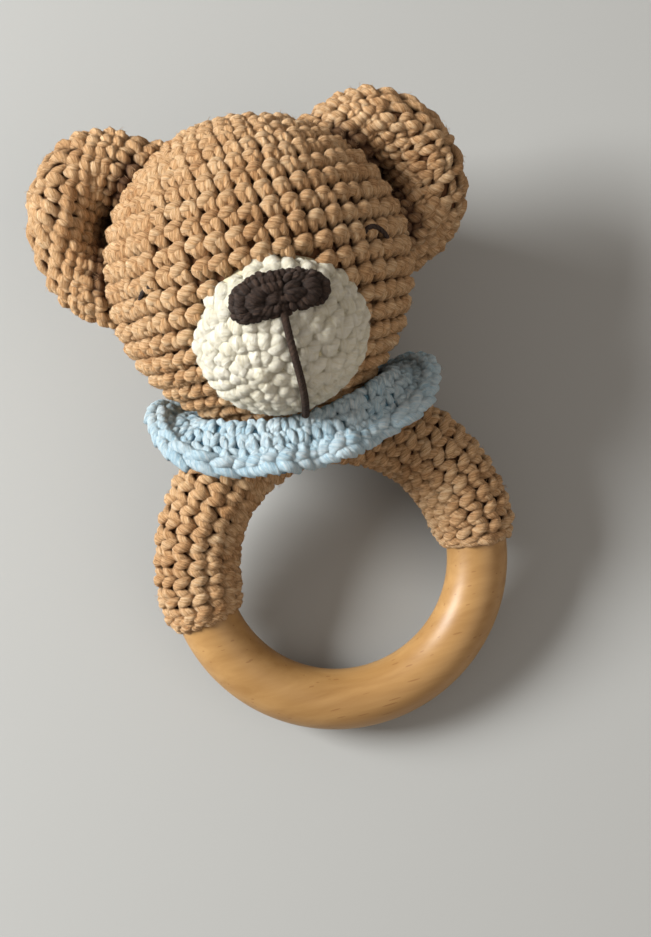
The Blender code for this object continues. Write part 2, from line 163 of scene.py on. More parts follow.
def mesh_object(name, verts, quads, caps=None, attributes=None):
    """A smooth mesh from arrays of points in the model's frame, quads and end caps."""
    mesh = bpy.data.meshes.new(name)
    loops = [quads.reshape(-1)]
    sizes = [np.full(len(quads), 4)]
    if caps is not None:
        loops.append(caps.reshape(-1))
        sizes.append(np.full(len(caps), caps.shape[1]))
    loops = np.concatenate(loops).astype(np.int32)
    sizes = np.concatenate(sizes).astype(np.int32)
    mesh.vertices.add(len(verts))
    mesh.vertices.foreach_set("co", verts.astype(np.float32).reshape(-1))
    mesh.loops.add(len(loops))
    mesh.loops.foreach_set("vertex_index", loops)
    mesh.polygons.add(len(sizes))
    starts = np.concatenate([[0], np.cumsum(sizes)[:-1]]).astype(np.int32)
    mesh.polygons.foreach_set("loop_start", starts)
    mesh.update(calc_edges=True)
    mesh.shade_smooth()
    for key, values in (attributes or {}).items():
        kind = "FLOAT_VECTOR" if values.ndim == 2 else "FLOAT"
        field = "vector" if values.ndim == 2 else "value"
        attribute = mesh.attributes.new(key, kind, "POINT")
        attribute.data.foreach_set(field, values.astype(np.float32).reshape(-1))
    obj = bpy.data.objects.new(name, mesh)
    bpy.context.scene.collection.objects.link(obj)
    return obj


def tube_faces(count, rings, sides, closed=False):
    """Quads and caps of `count` tubes with the same rings and sides."""
    tube = np.arange(count)[:, None, None] * rings * sides
    last = rings if closed else rings - 1
    ring = np.arange(last)[None, :, None]
    side = np.arange(sides)[None, None, :]
    after = (ring + 1) % rings
    beside = (side + 1) % sides
    quads = np.stack([tube + ring * sides + side, tube + ring * sides + beside,
                      tube + after * sides + beside, tube + after * sides + side], axis=-1)
    if closed:
        return quads.reshape(-1, 4), None
    first_cap = tube[:, 0, :] + np.arange(sides)[None, ::-1]
    last_cap = tube[:, 0, :] + (rings - 1) * sides + np.arange(sides)[None, :]
    return quads.reshape(-1, 4), np.concatenate([first_cap, last_cap])


def yarn(name, paths, outward, radii, material, sides=12, ply_depth=0.08, pitch=4.2,
         flat=0.92, closed=False, floor=True, height=1.0):
    """Plied strands: paths and outward are (strands, rings, 3) in the toy's frame.

    pitch is the length of one twist, and flat a strand's height against its width.
    The mesh carries what the yarn's material needs: "strand" runs with the twist, ten
    times slower along it, and "look" holds the strand's tone, its crests and its height,
    which set painted shade in the ply grooves and between the stitches.
    """
    count, rings, _ = paths.shape
    if closed:
        tangent = unit(np.roll(paths, -1, axis=1) - np.roll(paths, 1, axis=1))
    else:
        tangent = unit(np.gradient(paths, axis=1))
    beside = unit(np.cross(tangent, outward))
    normal = np.cross(beside, tangent)
    steps = np.linalg.norm(np.diff(paths, axis=1), axis=-1)
    along = np.concatenate([np.zeros((count, 1)), np.cumsum(steps, axis=1)], axis=1)
    along = along + RNG.uniform(0.0, pitch, (count, 1))
    around = np.arange(sides) * FULL_TURN / sides
    twist = around[None, None, :] - along[:, :, None] * FULL_TURN / pitch
    plied = 1.0 + ply_depth * np.cos(PLIES * twist)
    reach = np.broadcast_to(radii, (count, rings))[:, :, None] * plied
    rise = reach * np.cos(around)
    ring = rise[..., None] * normal[:, :, None, :] * flat
    ring = ring + (reach * np.sin(around))[..., None] * beside[:, :, None, :]
    verts = world((paths[:, :, None, :] + ring).reshape(-1, 3))
    if floor:
        verts[:, 2] = np.maximum(verts[:, 2], FLOOR_GAP)
    quads, caps = tube_faces(count, rings, sides, closed)
    lengthwise = np.broadcast_to(along[:, :, None] * 0.1, twist.shape)
    strand = np.stack([lengthwise, np.cos(twist), np.sin(twist)], axis=-1).reshape(-1, 3)
    tone = np.broadcast_to(RNG.uniform(-1.0, 1.0, (count, 1, 1)), twist.shape)
    # crests of the plies, for the bump and for the painted shade in the grooves between plies
    crest = 0.5 + 0.5 * np.cos(PLIES * twist)
    # painted shade between the stitches: light is 0, full painted shade, at DEEPEST and 1, none,
    # at HIGHEST
    over = np.broadcast_to(height, (count, rings))[:, :, None] + rise
    light = np.clip((over - DEEPEST) / (HIGHEST - DEEPEST), 0.0, 1.0)
    look = np.stack([tone, crest, light], axis=-1).reshape(-1, 3)
    obj = mesh_object(name, verts, quads, caps, {"strand": strand, "look": look})
    obj.data.materials.append(material)
    return obj


def sheet_mesh(name, points, material, wrap=True, closed=False):
    """A sheet from a grid of points (around, across, 3) in the toy's frame.

    wrap joins its last column to its first, and closed its last line.
    """
    around, across, _ = points.shape
    column = np.arange(around if wrap else around - 1)[:, None]
    line = np.arange(across if closed else across - 1)[None, :]
    here = column * across
    after = (column + 1) % around * across
    beside = (line + 1) % across
    quads = np.stack([here + line, after + line, after + beside, here + beside], axis=-1)
    verts = world(points.reshape(-1, 3))
    verts[:, 2] = np.maximum(verts[:, 2], GROUND_GAP)
    obj = mesh_object(name, verts, quads.reshape(-1, 4))
    obj.data.materials.append(material)
    return obj


def ground_mesh(name, surface, rows, lift, material, around=96, across=48):
    """A plain skin under the stitches, between two rows of a surface."""
    turn, row = np.meshgrid(full_circle(around), np.linspace(*rows, across), indexing="ij")
    return sheet_mesh(name, surface(turn, row, lift), material)


# ---- materials

INPUTS = {"colour": "Base Color", "roughness": "Roughness", "sheen": "Sheen Weight",
          "specular": "Specular IOR Level", "clear": "Transmission Weight"}


def node(tree, kind, **values):
    """Add a shader node and set its inputs and properties by name."""
    made = tree.nodes.new(kind)
    for key, value in values.items():
        if key in made.inputs:
            made.inputs[key].default_value = value
        else:
            setattr(made, key, value)
    return made


def new_material(name, **finish):
    """A node material and its Principled shader, with its plain inputs set."""
    material = bpy.data.materials.new(name)
    material.use_nodes = True
    shader = material.node_tree.nodes["Principled BSDF"]
    for key, value in finish.items():
        shader.inputs[INPUTS[key]].default_value = value
    return material, material.node_tree, shader


def multiply_add(tree, value, factor, added):
    """Output of value * factor + added, where added is a socket or a number."""
    math_node = node(tree, "ShaderNodeMath", operation="MULTIPLY_ADD")
    tree.links.new(value, math_node.inputs[0])
    math_node.inputs[1].default_value = factor
    if isinstance(added, float):
        math_node.inputs[2].default_value = added
    else:
        tree.links.new(added, math_node.inputs[2])
    return math_node.outputs[0]


def noise_over(tree, **settings):
    """Noise that is fixed to the places of the surface."""
    place = node(tree, "ShaderNodeNewGeometry")
    noise = node(tree, "ShaderNodeTexNoise", **settings)
    tree.links.new(place.outputs["Position"], noise.inputs["Vector"])
    return noise.outputs["Fac"]


def colour_ramp(tree, factor, stops):
    """Colours along a factor; stops are (position, colour), the lowest first."""
    ramp = node(tree, "ShaderNodeValToRGB")
    tree.links.new(factor, ramp.inputs["Fac"])
    elements = ramp.color_ramp.elements
    while len(elements) < len(stops):
        elements.new(0.5)
    for element, (position, colour) in zip(elements, stops):
        element.position = position
        element.color = (*colour, 1.0)
    return ramp.outputs["Color"]


def add_bump(tree, shader, height, strength, distance):
    """Fine relief of the surface."""
    bump = node(tree, "ShaderNodeBump", Strength=strength, Distance=distance)
    tree.links.new(height, bump.inputs["Height"])
    tree.links.new(bump.outputs["Normal"], shader.inputs["Normal"])


def yarn_material(name, painted_shade_colour, dark, middle, light, ply_shade=0.12):
    """Soft cotton: fine fibres along the strand, painted shade between plies and stitches, uneven
    dye.
    """
    material, tree, shader = new_material(name, roughness=0.9, sheen=0.05, specular=0.2)
    link = tree.links.new
    strand = node(tree, "ShaderNodeAttribute", attribute_name="strand")
    look = node(tree, "ShaderNodeAttribute", attribute_name="look")
    parts = node(tree, "ShaderNodeSeparateXYZ")
    link(look.outputs["Vector"], parts.inputs["Vector"])
    tone, crest, height = (parts.outputs[axis] for axis in "XYZ")
    fibres = node(tree, "ShaderNodeTexNoise", Scale=3.6, Detail=5.0, Roughness=0.8)
    link(strand.outputs["Vector"], fibres.inputs["Vector"])
    dye = noise_over(tree, Scale=160.0, Detail=2.0)
    dyed = multiply_add(tree, dye, 0.2, fibres.outputs["Fac"])
    shift = multiply_add(tree, tone, 0.03, dyed)
    cotton = colour_ramp(tree, shift, ((0.47, dark), (0.6, middle), (0.76, light)))
    # painted shade: the colour goes towards the painted shade colour in the ply grooves and on the
    # low sides between stitches
    shaded_ply = multiply_add(tree, crest, ply_shade, 1.0 - ply_shade)
    shaded_gap = node(tree, "ShaderNodeMapRange", interpolation_type="SMOOTHSTEP")
    link(height, shaded_gap.inputs["Value"])
    both = node(tree, "ShaderNodeMath", operation="MULTIPLY")
    link(shaded_ply, both.inputs[0])
    link(shaded_gap.outputs["Result"], both.inputs[1])
    colour = node(tree, "ShaderNodeMix", data_type="RGBA")
    link(both.outputs[0], colour.inputs["Factor"])
    colour.inputs["A"].default_value = (*painted_shade_colour, 1.0)
    link(cotton, colour.inputs["B"])
    link(colour.outputs["Result"], shader.inputs["Base Color"])
    relief = multiply_add(tree, fibres.outputs["Fac"], 3.0, crest)
    add_bump(tree, shader, relief, 0.9, 0.0005)
    return material


def srgb(red, green, blue):
    """Linear colour from 0 to 255 display values."""
    def linear(value):
        share = value / 255.0
        return share / 12.92 if share <= 0.04045 else ((share + 0.055) / 1.055) ** 2.4
    return linear(red), linear(green), linear(blue)


# each from its painted shade colour between the stitches to those of its darkest, middle
# and lightest fibres; ply_shade is how much painted shade falls in the ply grooves
BROWN = yarn_material("brown_yarn", srgb(88, 54, 27), srgb(176, 126, 78),
                      srgb(229, 184, 134), srgb(253, 225, 184))
CREAM = yarn_material("cream_yarn", srgb(228, 220, 186), srgb(238, 231, 204),
                      srgb(250, 246, 228), srgb(255, 253, 242), ply_shade=0.08)
BLUE = yarn_material("blue_yarn", srgb(84, 138, 172), srgb(164, 204, 226),
                     srgb(212, 235, 246), srgb(240, 250, 255))
DARK = yarn_material("dark_yarn", srgb(16, 10, 7), srgb(44, 31, 24),
                     srgb(66, 48, 39), srgb(100, 78, 64), ply_shade=0.3)


def plain_yarn_material(name, colour):
    """Matt ground behind the stitches, darker than the yarn in front as painted shade in the gaps.
    """
    material, tree, shader = new_material(name, roughness=0.95)
    cloth = noise_over(tree, Scale=900.0, Detail=4.0)
    darker = tuple(0.6 * part for part in colour)
    shades = colour_ramp(tree, cloth, ((0.0, darker), (1.0, colour)))
    tree.links.new(shades, shader.inputs["Base Color"])
    add_bump(tree, shader, cloth, 0.5, 0.0005)
    return material


# each ground is its yarn's colour darkened, as painted shade in the gaps between the stitches
BROWN_GROUND = plain_yarn_material("brown_ground", srgb(104, 68, 38))
CREAM_GROUND = plain_yarn_material("cream_ground", srgb(214, 205, 172))
BLUE_GROUND = plain_yarn_material("blue_ground", srgb(110, 154, 178))
DARK_GROUND = plain_yarn_material("dark_ground", srgb(24, 14, 14))


# ---- stitches

def leg(start, end, bow, sink, rise, low=-0.12, high=1.06, wide=1.0, lean=1.25, rings=9):
    """One leg of a stitch, ring by ring: shares across and up, lift in mm, and its width."""
    share = np.linspace(0.0, 1.0, rings)
    arch = np.sin(math.pi * share)
    across = start + (end - start) * share + bow * arch
    up = low + (high - low) * share
    hump = np.sin(math.pi * share ** lean)
    lift = sink + rise * hump ** 0.8
    return np.stack([across, up, lift, wide * (0.7 + 0.3 * hump)], axis=-1)


LEGS = [leg(-0.12, 0.50, 0.04, -0.9, 1.9, wide=1.2),
        leg(0.02, -0.40, -0.06, -0.9, 1.6, high=0.98, wide=1.05)]
HEAD_LEGS = [leg(-0.50, 0.40, 0.0, -0.1, 1.2, low=0.50, high=0.86, wide=1.28, lean=1.0),
             leg(0.36, -0.02, 0.06, -0.9, 1.95, low=-0.08, high=0.84, wide=1.02, lean=1.5),
             leg(0.00, -0.34, 0.04, -0.9, 1.85, low=-0.06, high=0.72, wide=0.98, lean=1.5)]
SMALL_LEGS = [leg(0.00, -0.02, -0.16, -0.5, 0.9, rings=6),
              leg(0.06, 0.46, 0.06, -0.5, 1.0, rings=6)]
SHAKE = np.array([1.0, 0.8, 1.6])  # unevenness of a leg across, up and out
HAIR_R = 0.038
HAIR_LENGTH = (0.4, 1.1)
HAIR_ROOT = 0.85  # share of the strand's radius where a loose fibre starts
HAIR_HEIGHT = 2.0  # high enough that loose fibres get no painted shade


def fuzz(name, paths, outs, thick, count, material):
    """Loose fibres that start inside the strands and curl away from them."""
    strand = RNG.integers(0, len(paths), count)
    ring = RNG.integers(2, paths.shape[1] - 2, count)
    root = paths[strand, ring]
    away = unit(outs[strand, ring] + 0.5 * RNG.normal(0.0, 1.0, (count, 3)))
    side = unit(np.cross(away, RNG.normal(0.0, 1.0, (count, 3))))
    share = np.linspace(0.0, 1.0, 4)[None, :, None]
    length = RNG.uniform(*HAIR_LENGTH, (count, 1, 1))
    rise = length * (0.75 * share - 0.35 * share ** 2)
    reach = thick[strand, ring][:, None, None] * HAIR_ROOT + rise
    curl = side[:, None, :] * length * share ** 1.5
    hair = root[:, None, :] + away[:, None, :] * reach + curl
    outward = np.broadcast_to(away[:, None, :], hair.shape)
    return yarn(name, hair, outward, HAIR_R, material, sides=3, ply_depth=0.0,
                height=HAIR_HEIGHT)


def join(obj, extra):
    """Make one object of two, keeping the first one's name."""
    with bpy.context.temp_override(active_object=obj, object=obj, selected_objects=[obj, extra],
                                   selected_editable_objects=[obj, extra]):
        bpy.ops.object.join()


def crochet(name, surface, rows, material, radius=0.98, legs=None, jitter=0.06, keep=None,
            hairs=0, shade=None, **more):
    """Rows of stitches on a surface(turn, row, lift); each row is (levels, turns, pitch).

    legs are the strands of one stitch, and jitter is how uneven they are.
    keep(points) tells which stitches show; the others lie inside another piece.
    hairs is how many loose fibres stand off, and shade(points) is how much deeper than its
    lift the yarn counts for its painted shade.
    """
    turn = np.concatenate([row[1] for row in rows])
    wide = np.concatenate([np.full(len(row[1]), row[2]) for row in rows])
    level = np.concatenate([row[0] for row in rows])
    if keep is not None:
        shown = keep(surface(turn, level - 0.5, np.zeros(len(turn))))
        turn, wide, level = turn[shown], wide[shown], level[shown]
    count = len(turn)
    paths, outs, heights, swells = [], [], [], []
    for shape in legs or LEGS:
        shake = RNG.normal(0.0, jitter, (count, 1, 3)) * SHAKE
        bend = shape[None, :, :3] + shake
        turns = turn[:, None] + bend[:, :, 0] * wide[:, None]
        levels = level[:, None] - bend[:, :, 1]
        lift = bend[:, :, 2]
        paths.append(surface(turns, levels, lift))
        outs.append(unit(surface(turns, levels, lift + 0.5) - surface(turns, levels, lift - 0.5)))
        heights.append(lift if shade is None else lift - shade(paths[-1]))
        swells.append(np.broadcast_to(shape[None, :, 3], lift.shape))
    paths = np.concatenate(paths)
    outs = np.concatenate(outs)
    thick = radius * np.concatenate(swells) * (1.0 + RNG.normal(0.0, 0.04, (len(paths), 1)))
    stitches = yarn(name, paths, outs, thick, material, height=np.concatenate(heights), **more)
    if hairs:
        join(stitches, fuzz(name + "_fuzz", paths, outs, thick, hairs, material))
    return stitches


def rounds(first, last, counts, start=math.pi):
    """Spiral rounds between two rows; counts gives the number of stitches in a round."""
    rows = []
    for number in range(first, last):
        count = counts(number)
        place = np.arange(count) / count
        rows.append((number + 0.5 + place, start + FULL_TURN * place, FULL_TURN / count))
    return rows


def soft(obj):
    """Let a piece ride on the plush body."""
    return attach(obj, "plush")


# ---- head

MUZZLE_DOWN = math.radians(31.0)
MUZZLE_OUT = 24.0
MUZZLE_R = 17.2
MUZZLE_DEPTH = 12.5
MUZZLE_SKIN = 2.1  # how far its stitches' level lies inside its size
MUZZLE_PITCH = 3.7  # height of a round
MUZZLE_AXIS = np.array([0.0, -math.sin(MUZZLE_DOWN), math.cos(MUZZLE_DOWN)])
MUZZLE_LOW = np.array([0.0, -MUZZLE_AXIS[2], MUZZLE_AXIS[1]])
MUZZLE_FRAME = np.stack([SIDEWAYS, MUZZLE_LOW, MUZZLE_AXIS])
MUZZLE_GROUND = -1.5  # lift of its ground, off its size
MUZZLE_POLE = (math.radians(-22.0), math.radians(7.0))  # its first round is off centre
MUZZLE_COVERS = 2.0  # inside its edge, the head has no stitches
SLEEVE_COVERS = 2.5  # nor that deep inside the sleeve

HEAD_SKIN = HEAD_R - 1.9
HEAD_GROUND = -0.55  # lift of the ground under the stitches
HEAD_BANDS = ((0, 8), (8, 12), (12, 16), (16, 22))  # rounds of each piece of stitches
HEAD_ROWS = 24
ROW_ANGLE = math.pi / HEAD_ROWS


def head_surface(turn, row, lift):
    """The head, with rows counted from its top; turn 0 is the middle of the face."""
    polar = np.clip(row, 0.02, HEAD_ROWS - 0.02) * ROW_ANGLE
    radius = HEAD_SKIN + lift
    return np.stack([radius * np.sin(polar) * np.sin(turn), HEAD_U + radius * np.cos(polar),
                     radius * np.sin(polar) * np.cos(turn)], axis=-1)


def head_counts(number):
    """Six more stitches a round up to 48, then fewer again."""
    return min(6 * (number + 1), 48, 6 * (HEAD_ROWS - number))


def outside_muzzle(points):
    """True for head stitches that neither the muzzle nor the sleeve covers."""
    flat = points - HEAD
    out = flat @ MUZZLE_AXIS
    around = np.linalg.norm(flat - out[:, None] * MUZZLE_AXIS, axis=-1)
    edge = np.hypot(around / (MUZZLE_R - MUZZLE_COVERS), (out - MUZZLE_OUT) / MUZZLE_DEPTH)
    covered = (edge < 1.0) & (out > 0.0)
    to_ring = np.hypot(np.hypot(points[:, 0], points[:, 1]) - RING_R, points[:, 2])
    return ~covered & (to_ring > SLEEVE_OUT - SLEEVE_COVERS)


def make_head():
    """The head's padded ground and its bands of stitches."""
    rows = (0.0, HEAD_ROWS - 2.5)
    ground = ground_mesh("head_ground", head_surface, rows, HEAD_GROUND, BROWN_GROUND)
    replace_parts(soft(ground), "head_shell")
    for number, (first, last) in enumerate(HEAD_BANDS, start=1):
        rows = rounds(first, last, head_counts)
        soft(crochet(f"head_stitches_{number}", head_surface, rows, BROWN, legs=HEAD_LEGS,
                     keep=outside_muzzle, hairs=800))


# ---- muzzle, nose, mouth and eyes

def dome_angles(radius, depth):
    """Lengths and angles from the top of a dome down to below its widest part."""
    angle = np.linspace(0.0, 2.2, 400)  # its widest part is at a quarter turn, 1.57
    middle = (angle[1:] + angle[:-1]) / 2.0
    steps = np.hypot(radius * np.cos(middle), depth * np.sin(middle)) * (angle[1] - angle[0])
    return np.concatenate([[0.0], np.cumsum(steps)]), angle


MUZZLE_LENGTHS, MUZZLE_ANGLES = dome_angles(MUZZLE_R, MUZZLE_DEPTH)


def muzzle_point(turn, angle, lift):
    """Point over the muzzle; turn 0 is its lower edge."""
    ring = SIDEWAYS * np.sin(turn)[..., None] + MUZZLE_LOW * np.cos(turn)[..., None]
    flat = ring * ((MUZZLE_R + lift) * np.sin(angle))[..., None]
    rise = MUZZLE_AXIS * (MUZZLE_OUT + (MUZZLE_DEPTH + lift) * np.cos(angle))[..., None]
    return HEAD + flat + rise


def muzzle_surface(turn, row, lift):
    """The muzzle's skin, with even rounds from a first one that lies off centre."""
    angle = np.interp(np.maximum(row, 0.02) * MUZZLE_PITCH, MUZZLE_LENGTHS, MUZZLE_ANGLES)
    left, low = MUZZLE_POLE
    across = math.cos(left)
    pole = np.array([math.sin(left), across * math.sin(low), across * math.cos(low)])
    first = unit(np.cross(pole, SIDEWAYS))
    second = np.cross(first, pole)
    ring = first * np.cos(turn)[..., None] + second * np.sin(turn)[..., None]
    way = pole * np.cos(angle)[..., None] + ring * np.sin(angle)[..., None]
    flat = MUZZLE_R - MUZZLE_SKIN + lift
    high = MUZZLE_DEPTH - MUZZLE_SKIN + lift
    local = way * np.stack([flat, flat, high], axis=-1)
    return HEAD + MUZZLE_AXIS * MUZZLE_OUT + local @ MUZZLE_FRAME


def off_the_head(points):
    """True for stitches that stand clear of the head's inside."""
    return np.linalg.norm(points - HEAD, axis=-1) > HEAD_R - 1.6


MUZZLE_LEGS = [leg(-0.54, 0.48, 0.0, -0.1, 0.5, low=0.42, high=0.90, wide=1.14, lean=1.0),
               leg(0.34, -0.20, 0.04, -0.2, 0.6, low=-0.18, high=0.80, wide=1.28, lean=1.3)]


def make_muzzle():
    """The cream muzzle: a padded dome of thick, soft stitches."""
    turn, angle = np.meshgrid(full_circle(72), np.linspace(0.02, 1.75, 32), indexing="ij")
    skin = muzzle_point(turn, angle, MUZZLE_GROUND)
    ground = soft(sheet_mesh("muzzle_ground", skin, CREAM_GROUND))
    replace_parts(ground, "muzzle_patch")
    rows = rounds(0, 9, lambda number: min(6 * (number + 1), 30), start=2.2)
    stitches = crochet("muzzle_stitches", muzzle_surface, rows, CREAM, radius=1.36,
                       ply_depth=0.04, legs=MUZZLE_LEGS, keep=off_the_head, hairs=600)
    soft(stitches)


def make_muzzle_seam():
    """Small stitches that sew the muzzle's foot to the head."""
    angles = np.linspace(1.0, 1.9, 400)
    reach = np.linalg.norm(muzzle_point(np.zeros(400), angles, 0.0) - HEAD, axis=-1)
    foot = angles[np.argmax(reach < HEAD_R - 0.2)]
    count = 40
    turns = FULL_TURN * np.arange(count) / count
    share = np.linspace(0.0, 1.0, 7)[None, :]
    turn = turns[:, None] + share * 0.1
    angle = foot + (share - 0.9) * 0.12
    lift = -1.7 + 0.6 * np.sin(math.pi * share)  # both ends dip in
    paths = muzzle_point(turn, angle, lift)
    seam = yarn("muzzle_seam_stitches", paths, unit(paths - HEAD), 0.4, CREAM, sides=8)
    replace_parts(soft(seam), "muzzle_seam")


NOSE_DOWN = math.radians(10.3)
NOSE_OUT = 34.3
NOSE_SIDE = 0.8
NOSE_SIZE = (9.4, 4.4, 3.2)
NOSE_SAG = 1.2  # how far its two lobes hang
NOSE_BOXY = 0.10  # how square its oval is
NOSE_TAPER = 0.16  # its right end is slimmer
NOSE_DROP = 0.25  # and a little lower
NOSE_SKIN = 1.1
NOSE_ROWS = 3.1
NOSE_AXIS = np.array([0.0, -math.sin(NOSE_DOWN), math.cos(NOSE_DOWN)])
NOSE_UP = np.array([0.0, NOSE_AXIS[2], -NOSE_AXIS[1]])


def nose_base(turn, row):
    """A bean with oval rounds from the middle of its front."""
    angle = np.maximum(row, 0.03) / NOSE_ROWS * math.pi / 2.0
    across, up, out = (size - NOSE_SKIN for size in NOSE_SIZE)
    boxy = 1.0 + NOSE_BOXY * np.sin(2.0 * turn) ** 2
    x = across * boxy * np.sin(angle) * np.sin(turn)
    y = up * boxy * np.sin(angle) * np.cos(turn)
    share = x / NOSE_SIZE[0]
    y = y + NOSE_SAG * (0.4 - share * share)
    y = y * (1.0 - NOSE_TAPER * share) - NOSE_DROP * share
    z = out * np.cos(angle)
    centre = HEAD + NOSE_AXIS * NOSE_OUT + SIDEWAYS * NOSE_SIDE
    return centre + SIDEWAYS * x[..., None] + NOSE_UP * y[..., None] + NOSE_AXIS * z[..., None]


def make_nose():
    """A small dark patch of oval rounds on the muzzle's upper edge."""
    surface = lifted(lambda turn, row: nose_base(-turn, row))
    soft(ground_mesh("nose_ground", surface, (0.0, 4.4), 0.0, DARK_GROUND, 48, 20))
    rows = rounds(0, 4, lambda number: 8 * (number + 1), start=0.0)
    stitches = crochet("nose_stitches", surface, rows, DARK, radius=0.72, legs=SMALL_LEGS,
                       sides=8, jitter=0.09)
    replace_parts(soft(stitches), "nose")


MOUTH_SIDE = 0.6
MOUTH_SWAY = 0.12
MOUTH_LIFT = 0.45
MOUTH_FROM = math.radians(-36.0)
MOUTH_TO = math.radians(64.0)
THREAD_R = 0.72
EYE_POINTS = ((19.8, 1.2), (21.2, 1.9), (22.6, 1.5), (23.7, 0.1), (24.3, -1.6))
EYE_LIFT = {"eye_left": -0.7, "eye_right": 0.1}  # over the head's ball
EYE_SINK = 1.1  # how far its ends go in
EYE_R = 0.48
FINE_PITCH = 3.2  # twist of the mouth's and eyes' strands


def smooth_line(points, count):
    """A cubic curve through a row of points, as (count, 3)."""
    place = np.linspace(0.0, 1.0, len(points))
    fits = [np.polyfit(place, points[:, axis], 3) for axis in range(3)]
    share = np.linspace(0.0, 1.0, count)
    return np.stack([np.polyval(fit, share) for fit in fits], axis=-1)


def make_mouth():
    """One taut strand from the nose to the muzzle's lower edge."""
    angle = np.linspace(MOUTH_FROM, MOUTH_TO, 60)
    path = muzzle_point(np.zeros(60), angle, MOUTH_LIFT)
    path = path + SIDEWAYS * (MOUTH_SIDE + MOUTH_SWAY * np.sin(5.0 * angle))[:, None]
    out = unit(path - HEAD)
    strand = yarn("mouth_strand", path[None], out[None], THREAD_R, DARK, pitch=FINE_PITCH)
    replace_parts(soft(strand), "mouth_thread")


def make_eyes():
    """Two closed eyes, one embroidered arc each, with sunk ends."""
    for name, side in (("eye_left", -1.0), ("eye_right", 1.0)):
        flat = np.array([(side * across, up, 0.0) for across, up in EYE_POINTS])
        path = smooth_line(flat, 40)
        ends = np.linspace(-1.0, 1.0, 40) ** 4
        reach = HEAD_R + EYE_LIFT[name] - EYE_SINK * ends
        path[:, 2] = np.sqrt(reach ** 2 - path[:, 0] ** 2 - path[:, 1] ** 2)
        strand = yarn(name + "_strand", (HEAD + path)[None], unit(path)[None], EYE_R, DARK,
                      pitch=FINE_PITCH)
        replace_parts(soft(strand), name)


# ---- ears

EAR_MIDDLE = {"left": math.radians(31.5), "right": math.radians(22.0)}
EAR_ROOT = math.radians(35.5)
EAR_OVAL_OUT = 31.0
EAR_REACH = 16.5
EAR_HALF_WIDTH = 19.3
EAR_RIM = 7.5  # how far its fat rim comes forward
EAR_BACK = 2.8
EAR_SINK = 8.5  # how far the middle of its root lies back
EAR_VALLEY = 0.20  # share of the oval where its rim starts to rise
EAR_LEAN = {"left": 0.15, "right": 0.0}
EAR_SKIN = 1.5
EAR_ROWS = 8.4
EAR_GROUND = -0.3  # lift of the ground under the stitches
EAR_BLEND = (30.0, 39.0)  # two reaches out from the head's centre along an ear's middle; the points there are worked out but not used


def ear_profile(out, along, front):
    """How far forward an ear's skin lies, on its front or its back."""
    edge = np.minimum(np.hypot((out - EAR_OVAL_OUT) / (EAR_REACH - EAR_SKIN),
                               along / (EAR_HALF_WIDTH - EAR_SKIN)), 1.0)
    swell = np.clip((edge - EAR_VALLEY) / (1.0 - EAR_VALLEY), 0.0, 1.0)
    rim = (EAR_RIM - EAR_SKIN) * np.maximum(np.sin(math.pi * swell), 0.0) ** 0.5
    back = -(EAR_BACK - 0.6 * EAR_SKIN) * np.sqrt(1.0 - edge ** 2)
    return np.where(front > 0.0, rim, back) - EAR_SINK * (1.0 - edge) ** 3


def even_table(places, low, high):
    """A function for even walks along a row of points, given between two values."""
    length = np.concatenate([[0.0], np.cumsum(np.linalg.norm(np.diff(places, axis=0), axis=-1))])
    values = np.linspace(low, high, len(places))
    return lambda share: np.interp(share, length / length[-1], values)


def ear_walks():
    """Even walks from the ear's tip to its root, and once round its pocket."""
    bend = np.linspace(0.0, math.pi / 2.0, 400)
    out = EAR_OVAL_OUT + (EAR_REACH - EAR_SKIN) * np.cos(bend)
    line = np.stack([out, ear_profile(out, 0.0, 1.0)], axis=-1)
    loop = np.linspace(0.0, FULL_TURN, 720)
    along = 0.94 * (EAR_HALF_WIDTH - EAR_SKIN) * np.cos(loop)
    level = EAR_OVAL_OUT + 0.34 * (EAR_REACH - EAR_SKIN)
    circle = np.stack([along, ear_profile(level, along, np.sin(loop))], axis=-1)
    return even_table(line, 0.0, math.pi / 2.0), even_table(circle, 0.0, FULL_TURN)


EAR_BEND, EAR_LOOP = ear_walks()


def ear_surface(name):
    """The skin of one ear: rounds from its outer tip to its root on the head."""
    side = 1.0 if name == "right" else -1.0
    middle = EAR_MIDDLE[name]
    outward = np.array([side * math.cos(middle), math.sin(middle), 0.0])
    upward = np.array([-side * outward[1], side * outward[0], 0.0])

    def base(turn, row):
        share = np.maximum(row, 0.04) / EAR_ROWS
        bend = EAR_BEND(np.minimum(share, 1.0)) + np.maximum(share - 1.0, 0.0)
        loop = EAR_LOOP(np.mod(side * turn / FULL_TURN, 1.0))
        along = (EAR_HALF_WIDTH - EAR_SKIN) * np.sin(bend) * np.cos(loop)
        sag = HEAD_R - np.sqrt(HEAD_R ** 2 - along ** 2)
        level = EAR_OVAL_OUT + (EAR_REACH - EAR_SKIN) * np.cos(bend)
        forward = ear_profile(level, along, np.sin(loop))
        rooted = np.clip(share, 0.0, 1.0) ** 3
        out = level - sag * rooted + EAR_LEAN[name] * along * (1.0 - rooted)
        return (HEAD + outward * out[..., None] + upward * along[..., None]
                + FORWARD * forward[..., None])

    return lifted(base), outward, upward


EAR_LEGS = [leg(-0.12, 0.50, 0.04, -0.7, 1.5, wide=1.25),
            leg(0.02, -0.40, -0.06, -0.7, 1.3, wide=1.05)]
VALLEY_SHADE = 1.9  # painted shade along an ear's root: how much deeper the stitches count there
VALLEY_OUT = (32.0, 36.5)  # fades between these reaches from the head's centre
VALLEY_ALONG = (11.0, 17.0)  # and between these lengths to each side


